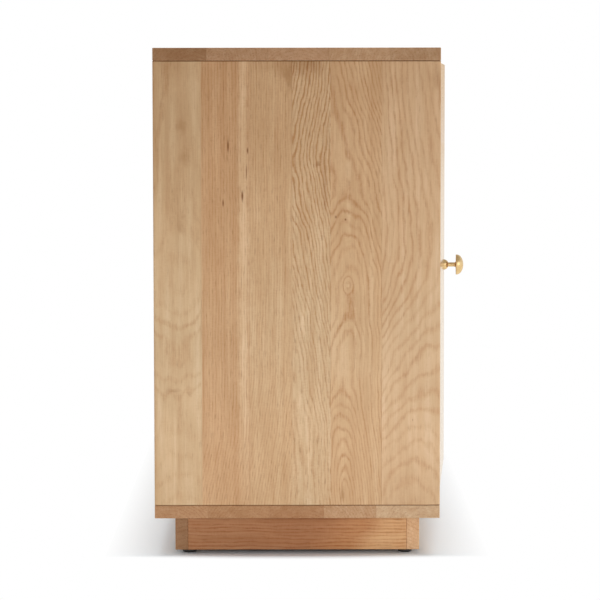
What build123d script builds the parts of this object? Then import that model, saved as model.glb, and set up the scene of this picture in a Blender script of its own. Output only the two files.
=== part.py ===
from build123d import *
from math import cos, hypot, radians, sin
import os

os.makedirs("parts", exist_ok=True)

# Case boards, in millimetres. The front looks along -Y and the floor is Z = 0.
case_width = 1800.0
case_depth = 450.0
board = 20.0
side_height = 700.0
door_bay = 500.0
edge_round = 1.2
fit_gap = 0.1
cut_over = 2.0

# Back panels in a rabbet, with a rounded cable port behind each compartment
rabbet_depth = 10.0
rabbet_width = 10.0
back_thickness = 6.0
back_gap = 0.5
port_length = 90.0
port_height = 45.0
port_lift = 80.0

# Dowels between the uprights and the two decks
dowel_radius = 4.0
dowel_in_deck = 12.0
dowel_in_upright = 24.0
dowel_inset = 62.0
dowel_count = 4

# Adjustable shelves on angle pins, in rows of holes
shelf_setback = 48.0
centre_setback = 24.0
shelf_side_gap = 1.0
shelf_back_gap = 2.0
pin_radius = 2.5
pin_length = 8.5
pin_plate = 1.6
pin_width = 9.0
pin_drop = 11.0
pin_rise = 5.0
pin_tab = 10.0
pin_pitch = 32.0
pin_front = 78.0
pin_back = 62.0

# Plinth and its round glides
plinth_height = 55.0
plinth_inset = 31.0
block_size = 50.0
glide_height = 7.0
glide_radius = 11.0
glide_round = 2.2
glide_inset = 22.0
glide_nail = 1.5
glide_nail_length = 20.0

# Doors on pivots. The left one stands a little ajar, as it is shown.
door_side_gap = 2.0
door_end_gap = 2.5
door_round = 1.5
pivot_inset = 24.0
pivot_radius = 4.0
pivot_in_door = 26.0
pivot_in_bush = 9.6
collar_radius = 7.0
bush_radius = 6.5
bush_length = 10.0
running_gap = 0.05
ajar_angle = 4.23

# Magnet catches under the top deck and their strikes on the doors
catch_inset = 42.0
catch_width = 38.0
catch_depth = 15.0
catch_height = 12.0
catch_slope = 3.0
magnet_width = 24.0
magnet_depth = 4.0
magnet_height = 7.0
strike_width = 32.0
strike_height = 10.0
strike_thickness = 1.2
strike_round = 2.0
catch_gap = 0.3

# Turned mushroom knobs, each on a flared rose with a screw from inside the door
knob_inset = 44.0
rose_radius = 9.0
rose_neck = 5.4
rose_length = 7.0
rose_rim = 1.2
stem_radius = 3.75
stem_length = 14.0
head_radius = 17.5
head_rim = 1.4
dome_height = 11.6
cove_radius = 2.5
screw_radius = 2.0
screw_in_knob = 10.0
screw_head_radius = 4.2
screw_head_height = 2.6

# Levels and reaches that follow from the sizes
half_width = case_width / 2
inner_half = half_width - board
partition_x = inner_half - door_bay - board / 2
plinth_half = half_width - plinth_inset
bottom_z = glide_height + plinth_height
side_z = bottom_z + board
top_z = side_z + side_height
middle_z = side_z + side_height / 2
door_width = door_bay - 2 * door_side_gap
door_height = side_height - 2 * door_end_gap
door_z = side_z + door_end_gap
pivot_x = inner_half - door_side_gap - pivot_inset
free_edge = door_width - pivot_inset
knob_reach = free_edge - knob_inset
head_length = head_rim + dome_height
knob_length = rose_length + stem_length + head_length
dome_base = board / 2 + knob_length - dome_height
ajar = radians(ajar_angle)
dome_reach = hypot(dome_height * cos(ajar), head_radius * sin(ajar))
front_reach = knob_reach * sin(ajar) + dome_base * cos(ajar) + dome_reach - board / 2
case_front = (front_reach - case_depth) / 2
case_back = case_front + case_depth
case_middle = case_front + case_depth / 2
inner_back = case_back - rabbet_depth
pivot_y = case_front + board / 2
plinth_front = case_front + plinth_inset
plinth_back = case_back - plinth_inset
dowel_step = (case_depth - rabbet_depth - 2 * dowel_inset) / (dowel_count - 1)
dowel_ys = [case_front + dowel_inset + dowel_step * i for i in range(dowel_count)]
upright_xs = [
    -inner_half - board / 2,
    -partition_x,
    partition_x,
    inner_half + board / 2,
]
lower_row = side_z + side_height / 3
upper_row = side_z + 2 * side_height / 3
bay_rows = [middle_z + pin_pitch * i for i in range(-2, 3)]
centre_rows = [row + pin_pitch * i for row in (lower_row, upper_row) for i in range(-1, 2)]
pin_ys = [case_front + pin_front, inner_back - pin_back]

# Each wall that takes shelf pins: its x, the way it faces, and the rows it is drilled for
pin_walls = [
    (-inner_half, 1, bay_rows),
    (-partition_x - board / 2, -1, bay_rows),
    (-partition_x + board / 2, 1, centre_rows),
    (partition_x - board / 2, -1, centre_rows),
    (partition_x + board / 2, 1, bay_rows),
    (inner_half, -1, bay_rows),
]
left, right = -1, 1
door_swing = {left: ajar, right: 0.0}


def save(part, name):
    part.label = name
    export_step(part, f"parts/{name}.step")


def wall_plane(x, facing):
    return Plane(origin=(x, 0, 0), x_dir=(0, facing, 0), z_dir=(facing, 0, 0))


def along(side):
    return Vector(-side * cos(door_swing[side]), -sin(door_swing[side]), 0)


def inward(side):
    return Vector(-side * sin(door_swing[side]), cos(door_swing[side]), 0)


def door_point(side, reach, depth, z):
    return Vector(side * pivot_x, pivot_y, z) + along(side) * reach + inward(side) * depth


def door_plan(side, z):
    return Plane(origin=door_point(side, 0, 0, z), x_dir=along(side), z_dir=(0, 0, 1))


def deck(inner_z, into):
    """Top or bottom board, cut from its inner face."""
    with BuildPart() as panel:
        with BuildSketch(Plane.XY.offset(inner_z)):
            with Locations((0, case_middle)):
                Rectangle(case_width, case_depth)
        extrude(amount=into * board)
        fillet(panel.edges(), radius=edge_round)
        with BuildSketch(Plane.XY.offset(inner_z - into * cut_over)):
            with Locations((0, inner_back)):
                Rectangle(
                    2 * (inner_half + rabbet_width),
                    rabbet_depth + cut_over,
                    align=(Align.CENTER, Align.MIN),
                )
        extrude(amount=into * (rabbet_width + cut_over), mode=Mode.SUBTRACT)
        with BuildSketch(Plane.XY.offset(inner_z)):
            with Locations([(x, y) for x in upright_xs for y in dowel_ys]):
                Circle(dowel_radius + fit_gap)
        extrude(amount=into * (dowel_in_deck + fit_gap), mode=Mode.SUBTRACT)
        with BuildSketch(Plane.XY.offset(inner_z)):
            with Locations((-pivot_x, pivot_y), (pivot_x, pivot_y)):
                Circle(bush_radius + fit_gap)
        extrude(amount=into * (bush_length + fit_gap), mode=Mode.SUBTRACT)
    return panel.part


def upright(x, back_y, rabbet_side, walls):
    """Side panel or partition: a board on end with dowel holes, pin holes and, on a side, a rabbet."""
    with BuildPart() as panel:
        with BuildSketch(Plane.XY.offset(side_z)):
            with Locations((x, case_front)):
                Rectangle(board, back_y - case_front, align=(Align.CENTER, Align.MIN))
        extrude(amount=side_height)
        fillet(panel.edges(), radius=edge_round)
        if rabbet_side:
            with BuildSketch(Plane.XY.offset(side_z)):
                with Locations((rabbet_side * (inner_half + (rabbet_width - cut_over) / 2), inner_back)):
                    Rectangle(
                        rabbet_width + cut_over,
                        rabbet_depth + cut_over,
                        align=(Align.CENTER, Align.MIN),
                    )
            extrude(amount=side_height, mode=Mode.SUBTRACT)
        for end_z, into in ((side_z, 1), (top_z, -1)):
            with BuildSketch(Plane.XY.offset(end_z)):
                with Locations([(x, y) for y in dowel_ys]):
                    Circle(dowel_radius + fit_gap)
            extrude(amount=into * (dowel_in_upright + fit_gap), mode=Mode.SUBTRACT)
        for wall_x, facing, rows in walls:
            with BuildSketch(wall_plane(wall_x, facing)):
                with Locations([(facing * y, z) for y in pin_ys for z in rows]):
                    Circle(pin_radius + fit_gap)
            extrude(amount=-(pin_length + fit_gap), mode=Mode.SUBTRACT)
    return panel.part


def back_panel(x_from, x_to, port_zs):
    """Thin panel let into the rabbets, with rounded cable ports."""
    with BuildPart() as panel:
        with BuildSketch(Plane.XZ.offset(-inner_back)):
            with Locations(((x_from + x_to) / 2, middle_z)):
                Rectangle(x_to - x_from - back_gap, side_height + 2 * (rabbet_width - back_gap))
            with Locations([((x_from + x_to) / 2, z) for z in port_zs]):
                SlotOverall(port_length, port_height, mode=Mode.SUBTRACT)
        extrude(amount=-back_thickness)
    return panel.part


def shelf(x_from, x_to, front_y, row):
    """Loose shelf resting on four pins."""
    with BuildPart() as panel:
        with BuildSketch(Plane.XY.offset(row + pin_rise)):
            with Locations(((x_from + x_to) / 2, front_y)):
                Rectangle(
                    x_to - x_from - 2 * shelf_side_gap,
                    inner_back - shelf_back_gap - front_y,
                    align=(Align.CENTER, Align.MIN),
                )
        extrude(amount=board)
        fillet(panel.edges(), radius=edge_round)
    return panel.part


def plinth_board(x_size, y_size, x, y):
    with BuildPart() as panel:
        with BuildSketch(Plane.XY.offset(glide_height)):
            with Locations((x, y)):
                Rectangle(x_size, y_size)
        extrude(amount=plinth_height)
        fillet(panel.edges().filter_by(Axis.Z), radius=edge_round)
        with BuildSketch(Plane.XY.offset(glide_height)):
            with Locations(glide_spots):
                Circle(glide_nail + fit_gap)
        extrude(amount=glide_nail_length + fit_gap, mode=Mode.SUBTRACT)
    return panel.part


def door_panel(side):
    """Flat slab with holes for its two pivots and the knob screw."""
    with BuildPart() as panel:
        with BuildSketch(door_plan(side, door_z)):
            with Locations((door_width / 2 - pivot_inset, 0)):
                Rectangle(door_width, board)
        extrude(amount=door_height)
        fillet(panel.edges(), radius=door_round)
        for end_z, into in ((door_z, 1), (door_z + door_height, -1)):
            with BuildSketch(door_plan(side, end_z)):
                Circle(pivot_radius + fit_gap)
            extrude(amount=into * (pivot_in_door + fit_gap), mode=Mode.SUBTRACT)
        knob_seat = door_point(side, knob_reach, -board / 2, middle_z)
        with BuildSketch(Plane(origin=knob_seat, x_dir=(0, 0, 1), z_dir=inward(side))):
            Circle(screw_radius + fit_gap)
        extrude(amount=board, mode=Mode.SUBTRACT)
    return panel.part


def door_pivots(side):
    """Two collared pins, one in each end of the door."""
    collar = door_end_gap - fit_gap
    with BuildPart() as pins:
        for end_z, into in ((door_z, 1), (door_z + door_height, -1)):
            with BuildSketch(door_plan(side, end_z)):
                Circle(pivot_radius)
            extrude(amount=into * pivot_in_door)
            with BuildSketch(door_plan(side, end_z)):
                Circle(collar_radius)
            extrude(amount=-into * collar)
            with BuildSketch(door_plan(side, end_z - into * door_end_gap)):
                Circle(pivot_radius)
            extrude(amount=-into * pivot_in_bush)
            with BuildSketch(door_plan(side, end_z - into * door_end_gap)):
                Circle(pivot_radius)
            extrude(amount=into * door_end_gap)
    return pins.part


def knob_plane(side, depth):
    """Plane through the knob's axis: local x runs out of the door, local y is the radius."""
    seat = door_point(side, knob_reach, depth, middle_z)
    return Plane(origin=seat, x_dir=-inward(side), z_dir=along(side))


def knob_axis(side):
    return Axis(door_point(side, knob_reach, 0, middle_z), -inward(side))


def knob_rose(side):
    """Flared rose between the door and the stem."""
    bore = screw_radius + fit_gap
    with BuildPart() as rose:
        with BuildSketch(knob_plane(side, -board / 2)):
            with BuildLine():
                Polyline(
                    (rose_length, rose_neck),
                    (rose_length, bore),
                    (0, bore),
                    (0, rose_radius),
                    (rose_rim, rose_radius),
                )
                SagittaArc((rose_rim, rose_radius), (rose_length, rose_neck), rose_rim / 2)
            make_face()
        revolve(axis=knob_axis(side))
    return rose.part


def knob(side):
    """Stem and domed head, with a coved neck and a blind hole for the screw."""
    bore = screw_radius + fit_gap
    head_back = stem_length
    with BuildPart() as turned:
        with BuildSketch(knob_plane(side, -board / 2 - rose_length)):
            with BuildLine():
                Polyline(
                    (stem_length + head_length, 0),
                    (screw_in_knob + fit_gap, 0),
                    (screw_in_knob + fit_gap, bore),
                    (0, bore),
                    (0, stem_radius),
                    (head_back - cove_radius, stem_radius),
                )
                SagittaArc(
                    (head_back - cove_radius, stem_radius),
                    (head_back, stem_radius + cove_radius),
                    -cove_radius * (1 - cos(radians(45))),
                )
                Polyline(
                    (head_back, stem_radius + cove_radius),
                    (head_back, head_radius - head_rim / 2),
                    (head_back + head_rim / 2, head_radius),
                    (head_back + head_rim, head_radius),
                )
                EllipticalCenterArc(
                    (head_back + head_rim, 0),
                    dome_height,
                    head_radius,
                    arc_size=90,
                )
            make_face()
        revolve(axis=knob_axis(side))
    return turned.part


def knob_screw(side):
    """Pan-head screw through the door into the knob."""
    with BuildPart() as screw:
        with BuildSketch(knob_plane(side, board / 2)):
            with BuildLine():
                Polyline(
                    (board + rose_length + screw_in_knob, 0),
                    (board + rose_length + screw_in_knob, screw_radius),
                    (0, screw_radius),
                    (0, screw_head_radius),
                    (-screw_head_height / 3, screw_head_radius),
                    (-screw_head_height, screw_head_radius * 2 / 3),
                    (-screw_head_height, 0),
                    close=True,
                )
            make_face()
        revolve(axis=knob_axis(side))
    return screw.part


def strike_plate(side):
    """Steel plate on the back of the door, level with the magnet."""
    seat = door_point(side, free_edge - catch_inset, board / 2, top_z - catch_height / 2)
    with BuildPart() as plate:
        with BuildSketch(Plane(origin=seat, x_dir=along(side), z_dir=inward(side))):
            RectangleRounded(strike_width, strike_height, strike_round)
        extrude(amount=strike_thickness)
    return plate.part


catch_x = pivot_x - free_edge + catch_inset
catch_y = case_front + board + strike_thickness + catch_gap
magnet_z = top_z - catch_height / 2


def catch_body(side):
    """Moulded housing under the top deck, sloped at the back, with a pocket for the magnet."""
    with BuildPart() as body:
        with BuildSketch(Plane.YZ.offset(side * catch_x - catch_width / 2)):
            with BuildLine():
                Polyline(
                    (catch_y, top_z),
                    (catch_y, top_z - catch_height),
                    (catch_y + catch_depth - catch_slope, top_z - catch_height),
                    (catch_y + catch_depth, top_z - catch_height + catch_slope),
                    (catch_y + catch_depth, top_z),
                    close=True,
                )
            make_face()
        extrude(amount=catch_width)
        with BuildSketch(Plane.XZ.offset(-catch_y)):
            with Locations((side * catch_x, magnet_z)):
                Rectangle(magnet_width + 2 * fit_gap, magnet_height + 2 * fit_gap)
        extrude(amount=-(magnet_depth + fit_gap), mode=Mode.SUBTRACT)
    return body.part


# Floor glides stand at the corners and under the two cross rails
glide_ys = (plinth_front + glide_inset, plinth_back - glide_inset)
glide_xs = (-plinth_half + glide_inset, -partition_x, partition_x, plinth_half - glide_inset)
glide_spots = [(x, y) for x in glide_xs for y in glide_ys]

# Case
save(deck(top_z, 1), "top_board")
save(deck(side_z, -1), "bottom_board")
save(upright(upright_xs[0], case_back, left, pin_walls[:1]), "left_side_panel")
save(upright(upright_xs[1], inner_back, 0, pin_walls[1:3]), "left_partition")
save(upright(upright_xs[2], inner_back, 0, pin_walls[3:5]), "right_partition")
save(upright(upright_xs[3], case_back, right, pin_walls[5:]), "right_side_panel")

with BuildPart() as case_dowels:
    for end_z, into in ((side_z, 1), (top_z, -1)):
        with BuildSketch(Plane.XY.offset(end_z - into * dowel_in_deck)):
            with Locations([(x, y) for x in upright_xs for y in dowel_ys]):
                Circle(dowel_radius)
        extrude(amount=into * (dowel_in_deck + dowel_in_upright))
save(case_dowels.part, "case_dowels")

# Back
bay_ports = [side_z + port_lift]
centre_ports = [
    side_z + port_lift,
    lower_row + pin_rise + board + port_lift,
    upper_row + pin_rise + board + port_lift,
]
panel_edge = inner_half + rabbet_width - back_gap / 2
save(back_panel(-panel_edge, -partition_x, bay_ports), "left_back_panel")
save(back_panel(-partition_x, partition_x, centre_ports), "centre_back_panel")
save(back_panel(partition_x, panel_edge, bay_ports), "right_back_panel")

# Shelves and their pins
bay_inner = partition_x + board / 2
centre_half = partition_x - board / 2
bay_front = case_front + shelf_setback
centre_front = case_front + centre_setback
save(shelf(-inner_half, -bay_inner, bay_front, middle_z), "left_shelf")
save(shelf(bay_inner, inner_half, bay_front, middle_z), "right_shelf")
save(shelf(-centre_half, centre_half, centre_front, lower_row), "lower_centre_shelf")
save(shelf(-centre_half, centre_half, centre_front, upper_row), "upper_centre_shelf")

with BuildPart() as shelf_pins:
    for wall_x, facing, rows in pin_walls:
        used = [middle_z] if rows is bay_rows else [lower_row, upper_row]
        spots = [(facing * y, z) for y in pin_ys for z in used]
        with BuildSketch(wall_plane(wall_x, facing)):
            with Locations(spots):
                Circle(pin_radius)
        extrude(amount=-pin_length)
        with BuildSketch(wall_plane(wall_x, facing)):
            with Locations([(y, z + pin_rise) for y, z in spots]):
                Rectangle(pin_width, pin_drop, align=(Align.CENTER, Align.MAX))
        extrude(amount=pin_plate)
        with BuildSketch(wall_plane(wall_x, facing)):
            with Locations([(y, z + pin_rise) for y, z in spots]):
                Rectangle(pin_width, pin_plate, align=(Align.CENTER, Align.MAX))
        extrude(amount=pin_tab)
save(shelf_pins.part, "shelf_pins")

# Plinth
end_length = case_depth - 2 * plinth_inset - 2 * board
save(plinth_board(2 * plinth_half, board, 0, plinth_front + board / 2), "plinth_front_board")
save(plinth_board(2 * plinth_half, board, 0, plinth_back - board / 2), "plinth_back_board")
save(plinth_board(board, end_length, -plinth_half + board / 2, case_middle), "plinth_left_end")
save(plinth_board(board, end_length, plinth_half - board / 2, case_middle), "plinth_right_end")
save(plinth_board(board, end_length, -partition_x, case_middle), "plinth_left_rail")
save(plinth_board(board, end_length, partition_x, case_middle), "plinth_right_rail")

block_x = plinth_half - board - block_size / 2
block_ys = (plinth_front + board + block_size / 2, plinth_back - board - block_size / 2)
with BuildPart() as plinth_corner_blocks:
    with BuildSketch(Plane.XY.offset(glide_height)):
        with Locations([(x, y) for x in (-block_x, block_x) for y in block_ys]):
            Rectangle(block_size, block_size)
    extrude(amount=plinth_height)
    chamfer(plinth_corner_blocks.edges().filter_by(Axis.Z), length=edge_round)
    with BuildSketch(Plane.XY.offset(glide_height)):
        with Locations(glide_spots):
            Circle(glide_nail + fit_gap)
    extrude(amount=glide_nail_length + fit_gap, mode=Mode.SUBTRACT)
save(plinth_corner_blocks.part, "plinth_corner_blocks")

with BuildPart() as foot_glides:
    with BuildSketch(Plane.XY):
        with Locations(glide_spots):
            Circle(glide_radius)
    extrude(amount=glide_height)
    fillet(foot_glides.faces().filter_by(Axis.Z).group_by(Axis.Z)[0].edges(), radius=glide_round)
    with BuildSketch(Plane.XY.offset(glide_height)):
        with Locations(glide_spots):
            Circle(glide_nail)
    extrude(amount=glide_nail_length)
save(foot_glides.part, "foot_glides")

# Door fittings on the case
with BuildPart() as pivot_bushes:
    for inner_z, into in ((side_z, -1), (top_z, 1)):
        with BuildSketch(Plane.XY.offset(inner_z)):
            with Locations((-pivot_x, pivot_y), (pivot_x, pivot_y)):
                Circle(bush_radius)
                Circle(pivot_radius + running_gap, mode=Mode.SUBTRACT)
        extrude(amount=into * bush_length)
save(pivot_bushes.part, "pivot_bushes")

with BuildPart() as catch_magnets:
    with BuildSketch(Plane.XZ.offset(-catch_y)):
        with Locations((-catch_x, magnet_z), (catch_x, magnet_z)):
            Rectangle(magnet_width, magnet_height)
    extrude(amount=-magnet_depth)
save(catch_magnets.part, "catch_magnets")

# Doors and what they carry
for side, hand in ((left, "left"), (right, "right")):
    save(catch_body(side), f"{hand}_catch_body")
    save(door_panel(side), f"{hand}_door_panel")
    save(door_pivots(side), f"{hand}_door_pivots")
    save(knob_rose(side), f"{hand}_knob_rose")
    save(knob(side), f"{hand}_knob")
    save(knob_screw(side), f"{hand}_knob_screw")
    save(strike_plate(side), f"{hand}_strike_plate")
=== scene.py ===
import bmesh
import bpy
import math
from mathutils import Matrix, Vector


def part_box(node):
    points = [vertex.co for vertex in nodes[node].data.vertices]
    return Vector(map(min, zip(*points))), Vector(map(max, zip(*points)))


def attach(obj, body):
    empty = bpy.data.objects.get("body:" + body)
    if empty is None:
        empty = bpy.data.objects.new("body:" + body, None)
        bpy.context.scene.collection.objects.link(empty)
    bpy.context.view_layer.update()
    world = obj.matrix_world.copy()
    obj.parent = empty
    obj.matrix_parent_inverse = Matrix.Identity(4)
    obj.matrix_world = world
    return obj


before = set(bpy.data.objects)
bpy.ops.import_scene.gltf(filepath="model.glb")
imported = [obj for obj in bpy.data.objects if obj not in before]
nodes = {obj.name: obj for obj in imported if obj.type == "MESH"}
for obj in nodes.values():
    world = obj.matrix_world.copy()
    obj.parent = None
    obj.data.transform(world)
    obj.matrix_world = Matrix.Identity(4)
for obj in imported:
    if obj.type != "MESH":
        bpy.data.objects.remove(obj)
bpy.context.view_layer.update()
scene = bpy.context.scene
print("cabinet loaded with", len(nodes), "nodes")


# node helpers

def feed(tree, socket, value):
    if isinstance(value, bpy.types.NodeSocket):
        tree.links.new(value, socket)
    else:
        socket.default_value = value


def calc(tree, operation, a, b=0.0, c=0.0, clamp=False):
    node = tree.nodes.new("ShaderNodeMath")
    node.operation = operation
    node.use_clamp = clamp
    for socket, value in zip(node.inputs, (a, b, c)):
        feed(tree, socket, value)
    return node.outputs[0]


def hypotenuse(tree, a, b):
    squares = calc(tree, "ADD", calc(tree, "MULTIPLY", a, a), calc(tree, "MULTIPLY", b, b))
    return calc(tree, "SQRT", squares)


def awayFrom(tree, value, middle):
    return calc(tree, "ABSOLUTE", calc(tree, "SUBTRACT", value, middle))


def vectorCalc(tree, operation, a, b):
    node = tree.nodes.new("ShaderNodeVectorMath")
    node.operation = operation
    feed(tree, node.inputs[0], a)
    feed(tree, node.inputs[1], b)
    return node.outputs[0]


def blend(tree, kind, factor, a, b):
    node = tree.nodes.new("ShaderNodeMix")
    node.data_type = "RGBA"
    node.blend_type = kind
    feed(tree, node.inputs[0], factor)
    feed(tree, node.inputs[6], a)
    feed(tree, node.inputs[7], b)
    return node.outputs[2]


def spread(tree, value, low, high, outLow=0.0, outHigh=1.0, smooth=True):
    node = tree.nodes.new("ShaderNodeMapRange")
    node.interpolation_type = "SMOOTHSTEP" if smooth else "LINEAR"
    for socket, item in zip(node.inputs, (value, low, high, outLow, outHigh)):
        feed(tree, socket, item)
    return node.outputs[0]


def noise(tree, vector, scale, detail=2.0, roughness=0.5):
    node = tree.nodes.new("ShaderNodeTexNoise")
    feed(tree, node.inputs["Vector"], vector)
    node.inputs["Scale"].default_value = scale
    node.inputs["Detail"].default_value = detail
    node.inputs["Roughness"].default_value = roughness
    return node.outputs[0]


def joinAxes(tree, x, y, z):
    node = tree.nodes.new("ShaderNodeCombineXYZ")
    for socket, value in zip(node.inputs, (x, y, z)):
        feed(tree, socket, value)
    return node.outputs[0]


def splitAxes(tree, vector):
    node = tree.nodes.new("ShaderNodeSeparateXYZ")
    feed(tree, node.inputs[0], vector)
    return node.outputs


def splitColour(tree, colour):
    node = tree.nodes.new("ShaderNodeSeparateColor")
    feed(tree, node.inputs[0], colour)
    return node.outputs


def linear(r, g, b):
    values = (v / 255 for v in (r, g, b))
    return tuple(v / 12.92 if v <= 10 / 255 else ((v + 0.055) / 1.055) ** 2.4 for v in values)


def opaque(colour):
    return tuple(colour) + (1.0,)


def toned(stops):
    return [(at, linear(*colour)) for at, colour in stops]


def ramp(tree, factor, stops, kind="LINEAR"):
    node = tree.nodes.new("ShaderNodeValToRGB")
    node.color_ramp.interpolation = kind
    elements = node.color_ramp.elements
    while len(elements) < len(stops):
        elements.new(1.0)
    for element, (place, colour) in zip(elements, stops):
        element.position = place
        element.color = opaque(colour)
    feed(tree, node.inputs[0], factor)
    return node.outputs[0]


def newGroup(name, inputs, outputs):
    tree = bpy.data.node_groups.new(name, "ShaderNodeTree")
    for labels, side in ((inputs, "INPUT"), (outputs, "OUTPUT")):
        for label in labels:
            kind = "NodeSocketColor" if label in ("Tint", "Colour") else "NodeSocketFloat"
            tree.interface.new_socket(label, in_out=side, socket_type=kind)
    return tree, tree.nodes.new("NodeGroupInput").outputs, tree.nodes.new("NodeGroupOutput").inputs


def putOut(tree, outputs, **values):
    for label, value in values.items():
        feed(tree, outputs[label], value)


def useGroup(tree, group, **values):
    node = tree.nodes.new("ShaderNodeGroup")
    node.node_tree = group
    for label, value in values.items():
        feed(tree, node.inputs[label], value)
    return node.outputs


def newMaterial(name):
    material = bpy.data.materials.new(name)
    material.use_nodes = True
    tree = material.node_tree
    return material, tree, tree.nodes["Principled BSDF"]


def bumpInto(tree, shader, height, strength, distance):
    node = tree.nodes.new("ShaderNodeBump")
    node.inputs["Strength"].default_value = strength
    node.inputs["Distance"].default_value = distance
    feed(tree, node.inputs["Height"], height)
    tree.links.new(node.outputs[0], shader.inputs["Normal"])


def objectPlace(tree):
    return tree.nodes.new("ShaderNodeTexCoord").outputs["Object"]


def dress(name, material):
    mesh = nodes[name].data
    mesh.materials.clear()
    mesh.materials.append(material)


def middleOf(name):
    low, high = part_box(name)
    return tuple((a + b) / 2 for a, b in zip(low, high))


# oak: growth rings round a pith, with fibres, pores and blotches
# a noise gives its scale across, into and along the board, its detail and its roughness
# a show gives the range that is read and the range that comes out
grainLook = {
    "seedStep": 53.0, "shake": ((40.0, 40.0, 15.0), 3.0, 0.5),
    "lineAt": 0.28, "lineReach": 0.27, "lineShare": 0.68, "fadeTo": 0.30, "fadeShare": 0.20,
    "dash": ((330.0, 330.0, 58.0), 2.0, 0.6), "dashShow": (0.34, 0.62, 0.62, 1.16),
    "yearShow": (0.0, 1.0, 0.6, 1.5),
    "fibre": ((520.0, 520.0, 22.0), 2.0, 0.6), "fibreShow": (0.30, 0.66, 0.60, 1.20),
    "fleck": ((150.0, 150.0, 430.0), 1.0, 0.5), "fleckShare": 0.35,
    "streak": ((105.0, 105.0, 4.5), 2.0, 0.5),
    "pore": ((600.0, 600.0, 62.0), 1.0, 0.5), "poreShow": (0.55, 0.70), "poreByRing": (0.0, 0.6, 0.45, 1.0),
    "blotch": ((23.0, 23.0, 9.0), 3.0, 0.55),
}
grainLabels = ("Ring", "Fibre", "Streak", "Pore", "Blotch")
noiseMiddle = 0.5


def makeOakGrain():
    look = grainLook
    tree, given, out = newGroup(
        "oakGrain",
        ("Across", "Depth", "Along", "Seed", "PithAcross", "PithDepth", "RingWidth", "Wobble", "Shift"),
        grainLabels,
    )
    offset = calc(tree, "MULTIPLY", given["Seed"], look["seedStep"])
    place = joinAxes(tree, given["Across"], given["Depth"], given["Along"])
    place = vectorCalc(tree, "ADD", place, joinAxes(tree, offset, 0.0, offset))

    def stretched(key):
        scales, detail, roughness = look[key]
        return noise(tree, vectorCalc(tree, "MULTIPLY", place, scales), 1.0, detail, roughness)

    shake = calc(tree, "SUBTRACT", stretched("shake"), noiseMiddle)
    shake = calc(tree, "MULTIPLY", shake, given["Wobble"])
    over = calc(tree, "SUBTRACT", given["Across"], given["PithAcross"])
    down = calc(tree, "ADD", given["Depth"], given["PithDepth"])
    reach = calc(tree, "ADD", hypotenuse(tree, over, down), given["Shift"])
    count = calc(tree, "DIVIDE", calc(tree, "ADD", reach, shake), given["RingWidth"])
    part = calc(tree, "FRACT", count)
    line = spread(tree, awayFrom(tree, part, look["lineAt"]), look["lineReach"], 0.0)
    fade = spread(tree, part, 1.0, look["fadeTo"])
    band = calc(tree, "MULTIPLY", line, look["lineShare"])
    band = calc(tree, "MULTIPLY_ADD", fade, look["fadeShare"], band)
    band = calc(tree, "MULTIPLY", band, spread(tree, stretched("dash"), *look["dashShow"]))
    year = tree.nodes.new("ShaderNodeTexWhiteNoise")
    year.noise_dimensions = "1D"
    feed(tree, year.inputs["W"], calc(tree, "ADD", calc(tree, "FLOOR", count), offset))
    band = calc(tree, "MULTIPLY", band, spread(tree, year.outputs[0], *look["yearShow"], smooth=False))
    fibre = stretched("fibre")
    fleck = calc(tree, "SUBTRACT", stretched("fleck"), noiseMiddle)
    fibre = calc(tree, "MULTIPLY_ADD", fleck, look["fleckShare"], fibre)
    band = calc(tree, "MULTIPLY", band, spread(tree, fibre, *look["fibreShow"]))
    streak = stretched("streak")
    pore = spread(tree, stretched("pore"), *look["poreShow"])
    pore = calc(tree, "MULTIPLY", pore, spread(tree, band, *look["poreByRing"]))
    putOut(tree, out, Ring=band, Fibre=fibre, Streak=streak, Pore=pore, Blotch=stretched("blotch"))
    return tree


# oiled surface: colour, gloss and relief from the grain; its colours multiply the tint
oilLook = {
    "deep": (0.71, 0.53, 0.385), "light": (1.10, 1.17, 1.25), "dull": (0.93, 0.91, 0.88),
    "clear": (1.03, 1.03, 1.03), "pore": (0.42, 0.30, 0.20), "end": (0.80, 0.73, 0.68),
    "seam": (0.32, 0.22, 0.15),
    "blotchShow": (0.32, 0.68), "paleStreak": (0.47, 0.72, 0.0, 0.65), "darkStreak": (0.5, 0.25, 0.0, 0.24),
    "fibreShow": (0.40, 0.68, 0.0, 0.70), "ringLossOnEnd": -0.6,
    "gloss": (0.2, 0.8, 0.32, 0.42), "poreGloss": 0.14, "relief": (0.2, 0.8, 0.30, 0.0), "poreDip": 0.6,
    "bump": (0.22, 0.0004), "specular": 0.2, "endFacing": (0.75, 0.95),
}


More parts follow.
